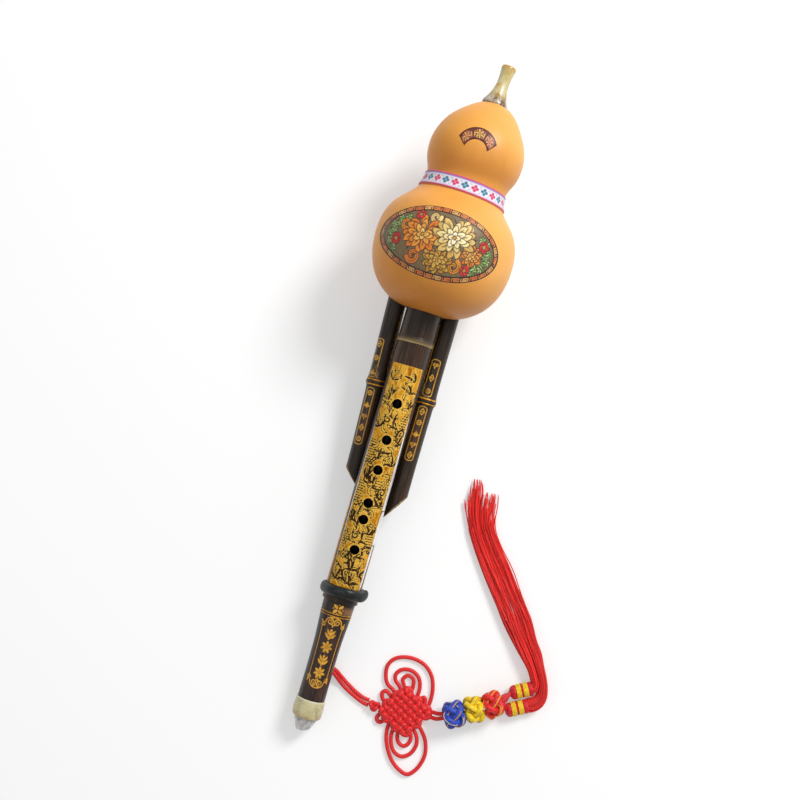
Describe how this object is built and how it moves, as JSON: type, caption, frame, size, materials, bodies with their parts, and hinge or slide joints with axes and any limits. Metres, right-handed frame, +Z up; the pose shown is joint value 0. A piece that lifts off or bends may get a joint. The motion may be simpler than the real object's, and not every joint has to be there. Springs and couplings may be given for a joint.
{
  "type": "hulusi gourd flute",
  "caption": "Free-reed gourd flute lying on its back: melody pipe, drones, horn mouthpiece, pull-off tail joint, and a knotted red cord with tassels.",
  "frame": {"origin": "on the floor, under the middle of the instrument's box without its cord", "axes": "+Z up from the floor that the instrument lies on; +Y from the tail to the mouthpiece; +X to the right"},
  "size_m": [0.1887, 0.4495, 0.0891],
  "materials": {
    "gourd_shell": "varnished natural gourd",
    "bamboo": "polished dark bamboo",
    "horn": "polished pale horn",
    "grey_horn": "smooth grey horn",
    "block_wood": "plain wood",
    "cork": "cork",
    "brass": "rolled sheet",
    "rubber": "soft black rubber",
    "ribbon": "woven patterned ribbon",
    "red_cord": "satin twisted cord",
    "blue_cord": "satin cord wound over a bead",
    "yellow_cord": "satin thread"
  },
  "bodies": {
    "chest": {"gourd": "gourd_shell", "pipe_block": "block_wood", "stem_bush": "block_wood", "neck_ribbon": "ribbon", "main_pipe": "bamboo", "main_reed": "brass", "main_pipe_stopper": "cork", "collar_ring": "rubber", "left_drone_seal": "rubber", "right_drone_seal": "rubber"},
    "mouthpiece": {"mouthpiece": "horn", "mouthpiece_cork": "cork"},
    "left_drone": {"left_drone": "bamboo", "left_drone_reed": "brass", "left_drone_stopper": "cork"},
    "right_drone": {"right_drone": "bamboo", "right_drone_reed": "brass", "right_drone_stopper": "cork"},
    "tail": {"tail_joint": "bamboo", "tail_tenon_wrap": "cork", "tail_ferrule": "horn", "tail_nozzle": "grey_horn", "cord_strand_1": "red_cord", "cord_strand_2": "red_cord", "upper_ear_1": "red_cord", "upper_ear_2": "red_cord", "upper_ear_3": "red_cord", "lower_ear_1": "red_cord", "lower_ear_2": "red_cord", "lower_ear_3": "red_cord", "side_loop_1": "red_cord", "side_loop_2": "red_cord", "side_loop_3": "red_cord", "entry_knot": "red_cord", "knot_body": "red_cord", "knot_link": "red_cord", "blue_button": "blue_cord", "yellow_button": "yellow_cord", "red_button": "red_cord", "tassel_link": "red_cord", "upper_tassel_head": "red_cord", "upper_tassel_skirt": "red_cord", "lower_tassel_head": "red_cord", "lower_tassel_skirt": "red_cord", "upper_tassel_band_1": "yellow_cord", "upper_tassel_band_2": "yellow_cord", "lower_tassel_band_1": "yellow_cord", "lower_tassel_band_2": "yellow_cord"}
  },
  "joints": [
    {"name": "tail_slide", "type": "slide", "parent": "chest", "child": "tail", "axis": [0, -0.9934, -0.1147], "range_m": [0, 0.012]},
    {"name": "mouthpiece_pull", "type": "slide", "parent": "chest", "child": "mouthpiece", "axis": [0.0958, 0.9888, 0.1142], "range_m": [0, 0.01]},
    {"name": "left_drone_slide", "type": "slide", "parent": "chest", "child": "left_drone", "axis": [0.0399, -0.9861, -0.1611], "range_m": [0, 0.008]},
    {"name": "right_drone_slide", "type": "slide", "parent": "chest", "child": "right_drone", "axis": [0, -0.9934, -0.1147], "range_m": [0, 0.008]}
  ]
}
